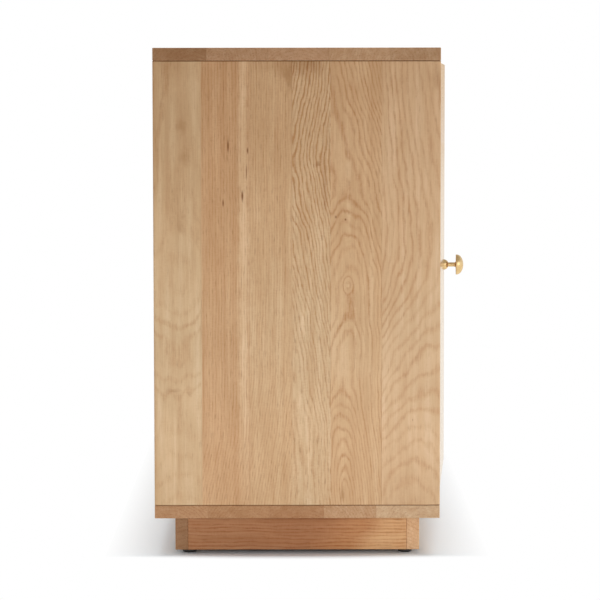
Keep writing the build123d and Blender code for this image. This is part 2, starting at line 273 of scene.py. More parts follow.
def makeOakFinish():
    look = oilLook
    tree, given, out = newGroup(
        "oakFinish",
        ("Tint",) + grainLabels + ("Figure", "Coarse", "End", "Seam"),
        ("Colour", "Roughness", "Height"),
    )
    tint, fibre, streak, pore = (given[label] for label in ("Tint", "Fibre", "Streak", "Pore"))

    def shade(colour, key):
        return blend(tree, "MULTIPLY", 1.0, colour, opaque(look[key]))

    ringShow = calc(tree, "MULTIPLY", given["Ring"], given["Figure"], clamp=True)
    endLoss = calc(tree, "MULTIPLY_ADD", given["End"], look["ringLossOnEnd"], 1.0)
    deep = shade(tint, "deep")
    blotch = spread(tree, given["Blotch"], *look["blotchShow"])
    colour = blend(tree, "MIX", blotch, shade(tint, "dull"), shade(tint, "clear"))
    for factor, layer in (
        (spread(tree, streak, *look["paleStreak"]), shade(tint, "light")),
        (spread(tree, streak, *look["darkStreak"]), deep),
        (calc(tree, "MULTIPLY", ringShow, endLoss), deep),
        (calc(tree, "MULTIPLY", spread(tree, fibre, *look["fibreShow"]), given["Coarse"]), deep),
        (calc(tree, "MULTIPLY", pore, given["Coarse"]), shade(tint, "pore")),
    ):
        colour = blend(tree, "MIX", factor, colour, layer)
    colour = blend(tree, "MIX", given["End"], colour, shade(colour, "end"))
    # the seam layer darkens glue lines between staves and, on the side panel, paints shade in its joints with
    # the top and bottom boards
    colour = blend(tree, "MIX", given["Seam"], colour, shade(tint, "seam"))
    gloss = spread(tree, fibre, *look["gloss"], smooth=False)
    gloss = calc(tree, "ADD", gloss, calc(tree, "MULTIPLY", pore, look["poreGloss"]))
    relief = spread(tree, fibre, *look["relief"], smooth=False)
    relief = calc(tree, "SUBTRACT", relief, calc(tree, "MULTIPLY", pore, look["poreDip"]))
    putOut(tree, out, Colour=colour, Roughness=gloss, Height=relief)
    return tree


# glued staves of uneven width, with a random draw for each and a pith that drifts along it
staveLook = {
    "seedStep": 91.7, "uneven": 0.55, "drawStep": 3.0,
    "driftStep": 29.0, "drifts": ((0.9, 11.0), (1.3, 37.0)),  # speed along the stave and start
    "acrossDrift": 0.07, "acrossRange": (-0.07, 0.07), "depthDrift": 0.09, "depthRange": (0.005, 0.075),
    "ringRange": (0.0042, 0.0066), "seam": (0.0002, 0.0009, 0.28, 0.0),
}


def makeStaveRow():
    look = staveLook
    tree, given, out = newGroup(
        "staveRow",
        ("Across", "Along", "Width", "Seed"),
        ("Local", "Tone", "Seed", "PithAcross", "PithDepth", "RingWidth", "Seam"),
    )
    place = calc(tree, "DIVIDE", given["Across"], given["Width"])
    place = calc(tree, "ADD", place, calc(tree, "MULTIPLY", given["Seed"], look["seedStep"]))
    cells = []
    for feature in ("F1", "DISTANCE_TO_EDGE"):
        cell = tree.nodes.new("ShaderNodeTexVoronoi")
        cell.voronoi_dimensions = "1D"
        cell.feature = feature
        cell.inputs["Scale"].default_value = 1.0
        cell.inputs["Randomness"].default_value = look["uneven"]
        feed(tree, cell.inputs["W"], place)
        cells.append(cell.outputs)
    tone, second, third = splitColour(tree, cells[0]["Color"])
    seed = calc(tree, "ADD", tone, calc(tree, "MULTIPLY", third, look["drawStep"]))
    drifts = []
    for speed, shift in look["drifts"]:
        drift = tree.nodes.new("ShaderNodeTexNoise")
        drift.noise_dimensions = "1D"
        drift.inputs["Detail"].default_value = 1.0
        drift.inputs["Scale"].default_value = 1.0
        walk = calc(tree, "MULTIPLY_ADD", given["Along"], speed, shift)
        feed(tree, drift.inputs["W"], calc(tree, "MULTIPLY_ADD", seed, look["driftStep"], walk))
        drifts.append(calc(tree, "SUBTRACT", drift.outputs[0], noiseMiddle))

    def drawn(draw, key):
        return spread(tree, draw, 0.0, 1.0, *look[key], smooth=False)

    local = calc(tree, "SUBTRACT", place, cells[0]["W"])
    edge = calc(tree, "MULTIPLY", cells[1]["Distance"], given["Width"])
    putOut(
        tree, out, Local=calc(tree, "MULTIPLY", local, given["Width"]), Tone=tone, Seed=seed,
        PithAcross=calc(tree, "MULTIPLY_ADD", drifts[0], look["acrossDrift"], drawn(second, "acrossRange")),
        PithDepth=calc(tree, "MULTIPLY_ADD", drifts[1], look["depthDrift"], drawn(third, "depthRange")),
        RingWidth=drawn(second, "ringRange"), Seam=spread(tree, edge, *look["seam"]),
    )
    return tree


# a soft mark on the face, drawn out along the grain
markEdges = (1.0, 0.1)


def makeMark():
    labels = ("Across", "Along", "MidAcross", "MidAlong", "Wide", "Long")
    tree, given, out = newGroup("oakMark", labels, ("Mark",))
    u = calc(tree, "DIVIDE", calc(tree, "SUBTRACT", given["Across"], given["MidAcross"]), given["Wide"])
    v = calc(tree, "DIVIDE", calc(tree, "SUBTRACT", given["Along"], given["MidAlong"]), given["Long"])
    putOut(tree, out, Mark=spread(tree, hypotenuse(tree, u, v), *markEdges))
    return tree


oakGrain = makeOakGrain()
oakFinish = makeOakFinish()
staveRow = makeStaveRow()
oakMark = makeMark()


def endMask(tree, axis):
    normal = tree.nodes.new("ShaderNodeTexCoord").outputs["Normal"]
    facing = splitAxes(tree, normal)["XYZ".index(axis)]
    return spread(tree, calc(tree, "ABSOLUTE", facing), *oilLook["endFacing"])


def finishOak(tree, shader, grain, **values):
    looks = {label: grain[label] for label in grainLabels}
    made = useGroup(tree, oakFinish, **looks, **values)
    tree.links.new(made["Colour"], shader.inputs["Base Color"])
    tree.links.new(made["Roughness"], shader.inputs["Roughness"])
    bumpInto(tree, shader, made["Height"], *oilLook["bump"])
    shader.inputs["Specular IOR Level"].default_value = oilLook["specular"]


oakTints = [(0.0, (190, 151, 112)), (0.3, (196, 160, 122)), (0.6, (201, 167, 129)), (1.0, (206, 173, 137))]
sawnLook = {
    "wobble": 0.009, "coarse": 0.36, "pithShare": 0.25, "slant": 0.6, "slantBlur": 0.05, "coatRough": 0.10,
}


# axes names the object axes that run across, into and along a board
def oakBoard(name, axes, seed, width, turn=0.0, figure=0.62, tints=oakTints, endShade=1.0, alongTints=None,
             pith=None, lacquer=0.0, node=None, sink=0.0):
    material, tree, shader = newMaterial(name + "Oak")
    place = objectPlace(tree)
    if turn:
        mapping = tree.nodes.new("ShaderNodeMapping")
        mapping.inputs["Rotation"].default_value = (0.0, 0.0, turn)
        feed(tree, mapping.inputs["Vector"], place)
        place = mapping.outputs[0]
    parts = splitAxes(tree, place)
    across, depth, along = (parts["XYZ".index(axis)] for axis in axes)
    if node:  # rings are counted from the board's own middle
        depth = calc(tree, "SUBTRACT", depth, middleOf(node)["XYZ".index(axes[1])] - sink)
    row = useGroup(tree, staveRow, Across=across, Along=along, Width=width, Seed=seed)
    pithAcross, pithDepth = row["PithAcross"], row["PithDepth"]
    if pith:  # far off, so that the lines run along the board
        pithAcross = calc(tree, "MULTIPLY_ADD", pithAcross, sawnLook["pithShare"], pith[0])
        pithDepth = pith[1]
    grain = useGroup(
        tree, oakGrain, Across=row["Local"], Depth=depth, Along=along, Seed=row["Seed"],
        PithAcross=pithAcross, PithDepth=pithDepth, RingWidth=row["RingWidth"], Wobble=sawnLook["wobble"],
    )
    tint = ramp(tree, row["Tone"], toned(tints))
    if alongTints:  # paler towards one end and darker towards the other, on a slant
        low, high, stops = alongTints
        slant = calc(tree, "MULTIPLY_ADD", grain["Blotch"], sawnLook["slantBlur"], along)
        slant = calc(tree, "MULTIPLY_ADD", across, sawnLook["slant"], slant)
        tint = ramp(tree, spread(tree, slant, low, high, smooth=False), toned(stops), "EASE")
    end = calc(tree, "MULTIPLY", endMask(tree, axes[2]), endShade)
    coarse = sawnLook["coarse"]
    finishOak(tree, shader, grain, Tint=tint, Figure=figure, Coarse=coarse, End=end, Seam=row["Seam"])
    shader.inputs["Coat Weight"].default_value = lacquer
    shader.inputs["Coat Roughness"].default_value = sawnLook["coatRough"]
    return material


# boards laid out stave by stave, from the back edge to the front; path gives, along the stave,
# how deep the pith lies, how far it is from the stave's middle line and how clear the figure is
sidePanel = {
    "axes": "YXZ", "face": -0.9, "back": 0.25775, "depth": 0.450, "span": (0.082, 0.782), "jointShadeLine": 0.0022,
    # browner and darker towards the top, which is painted shade, greyer round a height: shares of the span
    # and the colours that multiply
    "head": ((0.45, 1.0), (1.000, 0.935, 0.885)), "waist": (0.36, (0.28, 0.0), (0.960, 0.965, 0.965)),
    "staves": [
        {"upTo": 0.165, "tint": (205, 173, 135), "ring": 0.0120, "wobble": 0.022, "figure": 0.30,
         "coarse": 0.22, "seed": 0.11,
         "path": [(0.782, 0.070, 0.012), (0.673, 0.066, 0.010), (0.500, 0.058, 0.004), (0.420, 0.050, 0.000),
                  (0.359, 0.078, 0.000), (0.300, 0.090, -0.002), (0.257, 0.112, -0.004),
                  (0.202, 0.110, 0.000, 0.5), (0.139, 0.090, 0.002, 0.5), (0.082, 0.070, 0.004, 0.5)]},
        {"upTo": 0.333, "tint": (199, 159, 119), "ring": 0.0044, "wobble": 0.006, "figure": 0.34,
         "seed": 0.32,
         "path": [(0.782, 0.030, -0.104), (0.240, 0.030, -0.104), (0.170, 0.030, -0.110),
                  (0.082, 0.030, -0.128)]},
        {"upTo": 0.482, "tint": (204, 169, 130), "ring": 0.0042, "wobble": 0.006, "figure": 0.42,
         "seed": 0.54,
         "path": [(0.782, 0.020, 0.125), (0.280, 0.020, 0.120), (0.180, 0.020, 0.106),
                  (0.082, 0.020, 0.090)]},
        {"upTo": 0.615, "tint": (208, 177, 140), "ring": 0.0046, "wobble": 0.014, "figure": 1.25,
         "coarse": 0.44, "seed": 0.71,
         "path": [(0.782, 0.020, -0.062, 1.1), (0.720, 0.034, -0.064), (0.641, 0.052, -0.066, 1.1),
                  (0.600, 0.050, -0.064, 1.1), (0.520, 0.038, -0.056, 0.8), (0.406, 0.020, -0.044, 0.55),
                  (0.218, 0.018, -0.016, 0.45), (0.082, 0.020, -0.010, 0.45)]},
        {"upTo": 0.796, "tint": (205, 169, 130), "ring": 0.0042, "wobble": 0.009, "figure": 0.56,
         "coarse": 0.24, "seed": 0.23,
         "path": [(0.782, 0.0705, -0.066), (0.700, 0.0705, -0.044), (0.630, 0.0705, -0.024),
                  (0.576, 0.0695, -0.0125), (0.564, 0.0675, -0.0125), (0.542, 0.0625, -0.0125),
                  (0.511, 0.0565, -0.0125), (0.489, 0.0520, -0.0125), (0.462, 0.0475, -0.0125),
                  (0.433, 0.0440, -0.0125), (0.400, 0.0440, -0.0125), (0.375, 0.0430, -0.0130),
                  (0.358, 0.0395, -0.0140), (0.335, 0.0368, -0.0150, 0.7), (0.290, 0.0362, -0.018, 0.6),
                  (0.262, 0.0345, -0.020), (0.235, 0.0285, -0.0225), (0.200, 0.0200, -0.0225),
                  (0.160, 0.0120, -0.020), (0.125, 0.0060, -0.018), (0.082, 0.0020, -0.014)]},
        {"upTo": 1.000, "tint": (210, 176, 139), "ring": 0.0050, "wobble": 0.009, "figure": 0.48,
         "coarse": 0.20, "seed": 0.87,
         "path": [(0.782, 0.170, 0.100), (0.641, 0.180, 0.098), (0.485, 0.192, 0.090), (0.406, 0.190, 0.070),
                  (0.343, 0.183, 0.045), (0.288, 0.175, 0.036, 0.9), (0.234, 0.166, 0.022, 0.75),
                  (0.186, 0.157, 0.010, 0.62), (0.140, 0.149, 0.004, 0.55), (0.082, 0.141, 0.002, 0.5)]},
    ],
    # eyes in the figure: across from the back edge, height, half width, half length, depth of the dip
    "eyes": [(0.3045, 0.4330, 0.0125, 0.0200, -0.0062)],
    # across from the back edge, height, half width, half length, strength; below 0 is pale
    "marks": [
        (0.1415, 0.5600, 0.0130, 0.7600, -0.55), (0.0360, 0.6400, 0.0600, 0.2800, 0.15),
        (0.1176, 0.6490, 0.0022, 0.0150, 1.00), (0.1397, 0.5710, 0.0024, 0.0125, 1.00),
        (0.1096, 0.5600, 0.0019, 0.0085, 0.90), (0.1480, 0.6420, 0.0021, 0.0070, 0.90),
        (0.1463, 0.6090, 0.0018, 0.0160, 0.70), (0.1220, 0.3450, 0.0010, 0.0120, 0.40),
        (0.0440, 0.6780, 0.0130, 0.0190, 0.30), (0.0480, 0.6310, 0.0110, 0.0200, 0.24),
        (0.0440, 0.5230, 0.0100, 0.0260, 0.30), (0.0310, 0.2660, 0.0160, 0.0090, 0.32),
        (0.0560, 0.2620, 0.0070, 0.0070, 0.26), (0.2120, 0.7560, 0.0100, 0.0320, 0.42),
        (0.2590, 0.6230, 0.0050, 0.0080, 0.50), (0.2690, 0.5900, 0.0060, 0.0800, 0.26),
        (0.2860, 0.5380, 0.0026, 0.0034, 0.70), (0.3010, 0.5340, 0.0022, 0.0028, 0.90),
        (0.4440, 0.7500, 0.0130, 0.0300, 0.22), (0.4070, 0.2180, 0.0008, 0.0030, 0.70),
        (0.2960, 0.0980, 0.0060, 0.0160, 0.30), (0.2340, 0.3720, 0.0080, 0.0300, -0.55),
        (0.2440, 0.1700, 0.0070, 0.0700, -0.45), (0.1410, 0.7200, 0.0040, 0.0400, -0.50),
        # the broad dark marks at heights 0.776 and 0.778 darken the panel right under the top board
        (0.2280, 0.2500, 0.0060, 0.0300, -0.35), (0.2100, 0.7760, 0.0700, 0.0260, 0.30),
        (0.3200, 0.7640, 0.0300, 0.0300, -0.22), (0.0300, 0.7760, 0.0600, 0.0400, 0.20),
        (0.1410, 0.1300, 0.0120, 0.1000, 0.10), (0.4000, 0.1200, 0.0700, 0.1400, 0.14),
        (0.4050, 0.3000, 0.0500, 0.0800, 0.09), (0.2450, 0.7780, 0.0360, 0.0360, 0.24),
        # the long dark mark along the back edge, at 0.0 across, is painted shade on the rounded edge
        (0.0000, 0.4300, 0.0040, 2.0000, 0.28), (0.3045, 0.4330, 0.0060, 0.0110, -0.60),
    ],
}


# a top or bottom board: stave by stave how far it reaches, its tint, ring width, figure, seed and path
def deckLook(face, staves):
    keys = ("upTo", "tint", "ring", "figure", "seed", "path")
    return {
        "axes": "YZX", "face": face, "back": 0.25775, "depth": 0.450, "span": (-0.9, 0.9), "jointShadeLine": 0.0,
        "staves": [dict(zip(keys, stave), wobble=0.008) for stave in staves], "eyes": [], "marks": [],
    }


topBoard = deckLook(0.802, [
    (0.186, (178, 138, 101), 0.0052, 0.6, 0.17, [(-0.9, 0.050, 0.020), (0.9, 0.012, 0.010)]),
    (0.400, (199, 160, 124), 0.0046, 0.6, 0.47, [(-0.9, 0.020, -0.03), (0.2, 0.05, 0.0), (0.9, 0.03, 0.02)]),
    (0.610, (206, 167, 131), 0.0050, 0.6, 0.67, [(-0.9, 0.06, 0.00), (-0.2, 0.005, 0.0), (0.9, 0.04, -0.01)]),
    (0.824, (212, 175, 138), 0.0044, 0.6, 0.29, [(-0.9, 0.03, 0.06), (0.9, 0.03, 0.05)]),
    (1.000, (202, 166, 130), 0.0054, 0.6, 0.91, [(-0.9, 0.02, -0.02), (0.3, 0.06, 0.0), (0.9, 0.02, 0.01)]),
])
bottomBoard = deckLook(0.062, [
    (0.186, (194, 154, 116), 0.0050, 0.6, 0.37, [(-0.9, 0.040, -0.020), (0.9, 0.012, 0.010)]),
    (0.400, (188, 147, 108), 0.0044, 0.6, 0.57, [(-0.9, 0.030, 0.03), (0.2, 0.05, 0.0), (0.9, 0.03, 0.02)]),
    (0.590, (187, 145, 107), 0.0052, 0.6, 0.77, [(-0.9, 0.05, 0.01), (0.1, 0.005, 0.0), (0.9, 0.04, -0.01)]),
    (0.775, (206, 171, 135), 0.0046, 0.6, 0.41, [(-0.9, 0.03, -0.06), (0.9, 0.03, -0.05)]),
    (1.000, (214, 186, 152), 0.0050, 0.5, 0.83, [(-0.9, 0.02, 0.02), (0.3, 0.06, 0.0), (0.9, 0.02, 0.01)]),
])

# pins and short flecks are sharp, wider marks are ragged
markLook = {
    "softOver": 0.004, "soft": (146, 98, 44), "sharp": (126, 76, 38), "pale": (228, 200, 164),
    "ragged": (55.0, 3.0, 0.6), "raggedAcross": 0.012, "raggedAlong": 0.030,
}
glueLine = (0.0004, 0.0018, 0.10, 0.0)
# the dark line along the side panel's ends, where it meets the top and bottom boards, is painted shade in
# that joint
jointShadeLook = {"core": 0.4, "strength": 0.9}
# ramps hold colours, so lengths are scaled into their range and taken out again
packing = {"ring": 50.0, "wobble": 20.0, "figure": 2.0, "deep": (3.0, 0.2), "over": (2.0, 0.5)}


def laidOutBoard(name, look):
    material, tree, shader = newMaterial(name + "Oak")
    parts = splitAxes(tree, objectPlace(tree))
    side, depth, along = (parts["XYZ".index(axis)] for axis in look["axes"])
    staves = look["staves"]
    fromBack = calc(tree, "SUBTRACT", look["back"], side)
    share = calc(tree, "DIVIDE", fromBack, look["depth"])
    low, high = look["span"]
    walk = spread(tree, along, low, high, smooth=False)
    starts = [0.0] + [stave["upTo"] for stave in staves[:-1]]
    deepScale, deepZero = packing["deep"]
    overScale, overZero = packing["over"]

    def table(pick):
        stops = [(start, pick(start, stave)) for start, stave in zip(starts, staves)]
        return ramp(tree, share, stops, "CONSTANT")

    def packedMiddle(start, stave):
        return (start + stave["upTo"]) / 2, stave["seed"], stave["ring"] * packing["ring"]

    def packedMood(start, stave):
        figure = stave["figure"] / packing["figure"]
        return stave["wobble"] * packing["wobble"], figure, stave.get("coarse", sawnLook["coarse"])

    def packedPath(stave):
        for at, deep, over, *show in stave["path"]:
            packed = (deep * deepScale + deepZero, over * overScale + overZero, show[0] if show else 1.0)
            yield (at - low) / (high - low), packed

    def markAt(across, up, *spot):
        values = dict(zip(("MidAcross", "MidAlong", "Wide", "Long"), spot))
        return useGroup(tree, oakMark, Across=across, Along=up, **values)["Mark"]

    middle, seed, ring = splitColour(tree, table(packedMiddle))
    wobble, figure, coarse = splitColour(tree, table(packedMood))
    tint = table(lambda start, stave: linear(*stave["tint"]))
    path = None
    for start, stave in zip(starts, staves):
        own = ramp(tree, walk, sorted(packedPath(stave)), "CARDINAL")
        if path is not None:
            own = blend(tree, "MIX", calc(tree, "GREATER_THAN", share, start), path, own)
        path = own
    deepPart, overPart, show = splitColour(tree, path)
    shift = 0.0
    for *spot, dip in look["eyes"]:
        shift = calc(tree, "MULTIPLY_ADD", markAt(fromBack, along, *spot), dip, shift)
    grain = useGroup(
        tree, oakGrain, Across=calc(tree, "MULTIPLY_ADD", middle, -look["depth"], fromBack),
        Depth=calc(tree, "SUBTRACT", depth, look["face"]), Along=along, Seed=seed, Shift=shift,
        PithAcross=calc(tree, "DIVIDE", calc(tree, "SUBTRACT", overPart, overZero), overScale),
        PithDepth=calc(tree, "DIVIDE", calc(tree, "SUBTRACT", deepPart, deepZero), deepScale),
        RingWidth=calc(tree, "DIVIDE", ring, packing["ring"]),
        Wobble=calc(tree, "DIVIDE", wobble, packing["wobble"]),
    )
    ragged = calc(tree, "SUBTRACT", noise(tree, objectPlace(tree), *markLook["ragged"]), noiseMiddle)
    raggedPlace = (
        calc(tree, "MULTIPLY_ADD", ragged, markLook["raggedAcross"], fromBack),
        calc(tree, "MULTIPLY_ADD", ragged, markLook["raggedAlong"], along),
    )
    for *spot, strength in look["marks"]:
        soft = spot[2] > markLook["softOver"]
        mark = markAt(*(raggedPlace if soft else (fromBack, along)), *spot)
        key = "pale" if strength < 0 else "soft" if soft else "sharp"
        shown = calc(tree, "MULTIPLY", mark, abs(strength))
        tint = blend(tree, "MIX", shown, tint, opaque(linear(*markLook[key])))
    # painted shade: the side panel's colour is darkened and browned towards its top
    if "head" in look:
        reach, colour = look["head"]
        tint = blend(tree, "MULTIPLY", spread(tree, walk, *reach, smooth=False), tint, opaque(colour))
        level, reach, colour = look["waist"]
        near = spread(tree, awayFrom(tree, walk, level), *reach)
        tint = blend(tree, "MULTIPLY", near, tint, opaque(colour))
    seam = 0.0
    for start in starts[1:]:
        seam = calc(tree, "MAXIMUM", seam, spread(tree, awayFrom(tree, share, start), *glueLine))
    # painted shade: a dark line along the side panel's top and bottom ends, in its joints with the top and
    # bottom boards
    if look["jointShadeLine"]:
        fromLow, fromHigh = calc(tree, "SUBTRACT", along, low), calc(tree, "SUBTRACT", high, along)
        fromEnd = calc(tree, "MINIMUM", fromLow, fromHigh)
        core = look["jointShadeLine"] * jointShadeLook["core"]
        jointShade = spread(tree, fromEnd, look["jointShadeLine"], core, 0.0, jointShadeLook["strength"])
        seam = calc(tree, "MAXIMUM", seam, jointShade)
    figure = calc(tree, "MULTIPLY", calc(tree, "MULTIPLY", figure, packing["figure"]), show)
    end = endMask(tree, look["axes"][2])
    finishOak(tree, shader, grain, Tint=tint, Figure=figure, Coarse=coarse, End=end, Seam=seam)
    return material


ajar = math.radians(4.23)
# axes, seed and width of a stave
boards = {
    "right_side_panel": ("YXZ", 0.13, 0.066),
    "left_partition": ("YXZ", 0.27, 0.070),
    "right_partition": ("YXZ", 0.41, 0.064),
    "left_shelf": ("YZX", 0.73, 0.064),
    "right_shelf": ("YZX", 0.31, 0.070),
    "lower_centre_shelf": ("YZX", 0.47, 0.066),
    "upper_centre_shelf": ("YZX", 0.86, 0.062),
}
for name, (axes, seed, width) in boards.items():
    dress(name, oakBoard(name, axes, seed, width, node=name))

doors = {
    "turns": {"left_door_panel": (0.62, ajar), "right_door_panel": (0.95, 0.0)}, "width": 0.082,
    "tints": [(0.0, (184, 143, 102)), (0.4, (194, 155, 114)), (1.0, (204, 168, 128))],
}
for name, (seed, turn) in doors["turns"].items():
    dress(name, oakBoard(name, "XYZ", seed, doors["width"], turn, tints=doors["tints"], lacquer=1.0))

# one wide stave each
wholeWidth = 0.2
paleFrontDarkBack = [
    (0.0, (207, 160, 115)), (0.24, (210, 166, 121)), (0.38, (186, 134, 91)), (0.6, (167, 116, 79)),
    (1.0, (168, 119, 82)),
]
plinth = {
    "plinth_front_board": ("plinthFront", "ZYX", 0.19, {
        "figure": 0.35, "tints": [(0.0, (214, 173, 133)), (1.0, (218, 178, 138))],
        "endShade": 0.25, "pith": (0.11, 0.03)}),
    "plinth_back_board": ("plinthBack", "ZYX", 0.24, {
        "tints": [(0.0, (164, 128, 95)), (1.0, (170, 134, 100))], "pith": (-0.10, 0.02)}),
    "plinth_left_end": ("plinthLeft", "ZXY", 0.36, {
        "figure": 0.66, "alongTints": (-0.14, 0.20, paleFrontDarkBack), "pith": (-0.12, 0.02)}),
    "plinth_right_end": ("plinthRight", "ZXY", 0.58, {"figure": 0.5, "pith": (0.12, 0.03)}),
}
for name, (label, axes, seed, values) in plinth.items():
    dress(name, oakBoard(label, axes, seed, wholeWidth, node=name, **values))

for name, look in (("left_side_panel", sidePanel), ("top_board", topBoard), ("bottom_board", bottomBoard)):
    dress(name, laidOutBoard(name, look))

backs = {
    "seeds": {"left_back_panel": 0.15, "centre_back_panel": 0.35, "right_back_panel": 0.75}, "width": 0.16,
    "figure": 0.42, "sink": 0.09, "tints": [(0.0, (188, 150, 112)), (1.0, (199, 164, 127))],
}
for name, seed in backs["seeds"].items():
    values = {key: backs[key] for key in ("figure", "tints", "sink")}
    dress(name, oakBoard(name, "XYZ", seed, backs["width"], node=name, **values))

rawTints = [(0.0, (182, 143, 100)), (1.0, (196, 160, 118))]
rawFigure = 0.5
for name, axes, seed in (
    ("plinth_left_rail", "ZXY", 0.18), ("plinth_right_rail", "ZXY", 0.38),
    ("plinth_corner_blocks", "XYZ", 0.68), ("case_dowels", "XYZ", 0.78),
):
    dress(name, oakBoard(name, axes, seed, wholeWidth, figure=rawFigure, tints=rawTints, node=name))
print("oak finished")


# satin brass with fine turning lines round the knob's axis
knobBrass = {
    "tint": linear(238, 210, 158), "dark": linear(204, 168, 114),
    "cloud": (160.0, 3.0), "cloudShow": (0.35, 0.75, 0.0, 0.5), "rough": (0.3, 0.7, 0.20, 0.28),
    "linesPerMetre": 2600.0, "lineRough": 0.06, "bump": (0.12, 0.0001),
}


def turnedBrass(name, centre, turn):
    look = knobBrass
    material, tree, shader = newMaterial(name)
    mapping = tree.nodes.new("ShaderNodeMapping")
    mapping.vector_type = "TEXTURE"
    mapping.inputs["Location"].default_value = centre
    mapping.inputs["Rotation"].default_value = (0.0, 0.0, turn)
    feed(tree, mapping.inputs["Vector"], objectPlace(tree))
    x, y, z = splitAxes(tree, mapping.outputs[0])
    around = calc(tree, "MULTIPLY", hypotenuse(tree, x, z), look["linesPerMetre"])
    lines = noise(tree, joinAxes(tree, around, calc(tree, "MULTIPLY", y, look["linesPerMetre"]), 0.0), 1.0)
    cloud = noise(tree, mapping.outputs[0], *look["cloud"])
    clouded = spread(tree, cloud, *look["cloudShow"])
    colour = blend(tree, "MIX", clouded, opaque(look["tint"]), opaque(look["dark"]))
    tree.links.new(colour, shader.inputs["Base Color"])
    shader.inputs["Metallic"].default_value = 1.0
    rough = spread(tree, cloud, *look["rough"])
    rough = calc(tree, "ADD", rough, calc(tree, "MULTIPLY", lines, look["lineRough"]))
    tree.links.new(rough, shader.inputs["Roughness"])
    bumpInto(tree, shader, lines, *look["bump"])
    return material


for hand, turn in (("left", -ajar), ("right", 0.0)):
    brass = turnedBrass(hand + "KnobBrass", middleOf(hand + "_knob"), turn)
    dress(hand + "_knob", brass)
    dress(hand + "_knob_rose", brass)


# plated and moulded fittings
plated = {
    "detail": 3.0, "worn": 0.72, "wornShow": (0.3, 0.75, 0.0, 0.35),
    "roughFrom": (0.25, 0.75), "roughSpan": (-0.06, 0.08), "bump": (0.08, 0.0002),
}
moulded = {
    "pebble": 1500.0, "scuff": (90.0, 4.0, 0.6), "scuffed": 2.2, "scuffShow": (0.45, 0.8, 0.0, 0.5),
    "roughFrom": (0.3, 0.8), "roughSpan": (0.0, 0.15), "bump": (0.2, 0.0002),
}


def scaled(colour, share):
    return opaque(v * share for v in colour)


def platedMetal(name, tint, rough, scale):
    material, tree, shader = newMaterial(name)
    cloud = noise(tree, objectPlace(tree), scale, plated["detail"])
    worn = spread(tree, cloud, *plated["wornShow"])
    colour = blend(tree, "MIX", worn, opaque(tint), scaled(tint, plated["worn"]))
    tree.links.new(colour, shader.inputs["Base Color"])
    gloss = spread(tree, cloud, *plated["roughFrom"], *(rough + step for step in plated["roughSpan"]))
    tree.links.new(gloss, shader.inputs["Roughness"])
    shader.inputs["Metallic"].default_value = 1.0
    bumpInto(tree, shader, cloud, *plated["bump"])
    return material


def mouldedPlastic(name, tint, rough):
    material, tree, shader = newMaterial(name)
    place = objectPlace(tree)
    pebble = noise(tree, place, moulded["pebble"])
    scuff = noise(tree, place, *moulded["scuff"])
    scuffed = spread(tree, scuff, *moulded["scuffShow"])
    colour = blend(tree, "MIX", scuffed, opaque(tint), scaled(tint, moulded["scuffed"]))
    tree.links.new(colour, shader.inputs["Base Color"])
    gloss = spread(tree, scuff, *moulded["roughFrom"], *(rough + step for step in moulded["roughSpan"]))
    tree.links.new(gloss, shader.inputs["Roughness"])
    bumpInto(tree, shader, pebble, *moulded["bump"])
    return material


pivotBrass = platedMetal("pivotBrass", linear(190, 150, 92), 0.32, 220.0)
zincSteel = platedMetal("zincSteel", linear(188, 188, 190), 0.36, 180.0)
magnetSteel = platedMetal("magnetSteel", linear(120, 120, 123), 0.42, 260.0)
blackPlastic = mouldedPlastic("blackPlastic", linear(34, 32, 31), 0.48)
for material, names in (
    (pivotBrass, ("left_door_pivots", "right_door_pivots", "pivot_bushes")),
    (zincSteel, ("shelf_pins", "left_strike_plate", "right_strike_plate")),
    (zincSteel, ("left_knob_screw", "right_knob_screw")),
    (blackPlastic, ("foot_glides", "left_catch_body", "right_catch_body")),
    (magnetSteel, ("catch_magnets",)),
):
    for name in names:
        dress(name, material)
print("fittings finished")


# small screws: domed with a cross for the back panels, flat under the catches and in the strikes
# a head gives its radius, its rise and the half length and half width of the cross's arms
screws = {
    "dome": (0.0031, 0.0017, 0.0014, 0.0004), "flat": (0.0028, 0.0010, 0.0013, 0.0004),
    "flush": (0.0024, 0.0002, 0.0011, 0.0003), "sides": 24, "topShare": 0.62, "crossSink": 0.6,
    # shares of the radius and of the rise, from the top's edge down
    "profile": ((0.88, 0.78), (1.0, 0.40), (1.0, 0.0)),
    "backInset": 0.005, "backPitch": 0.17, "catchShares": (0.16, 0.84), "catchInset": 0.0095,
    "strikeSteps": (-0.0105, 0.0105), "strikeLift": 0.0006,
}


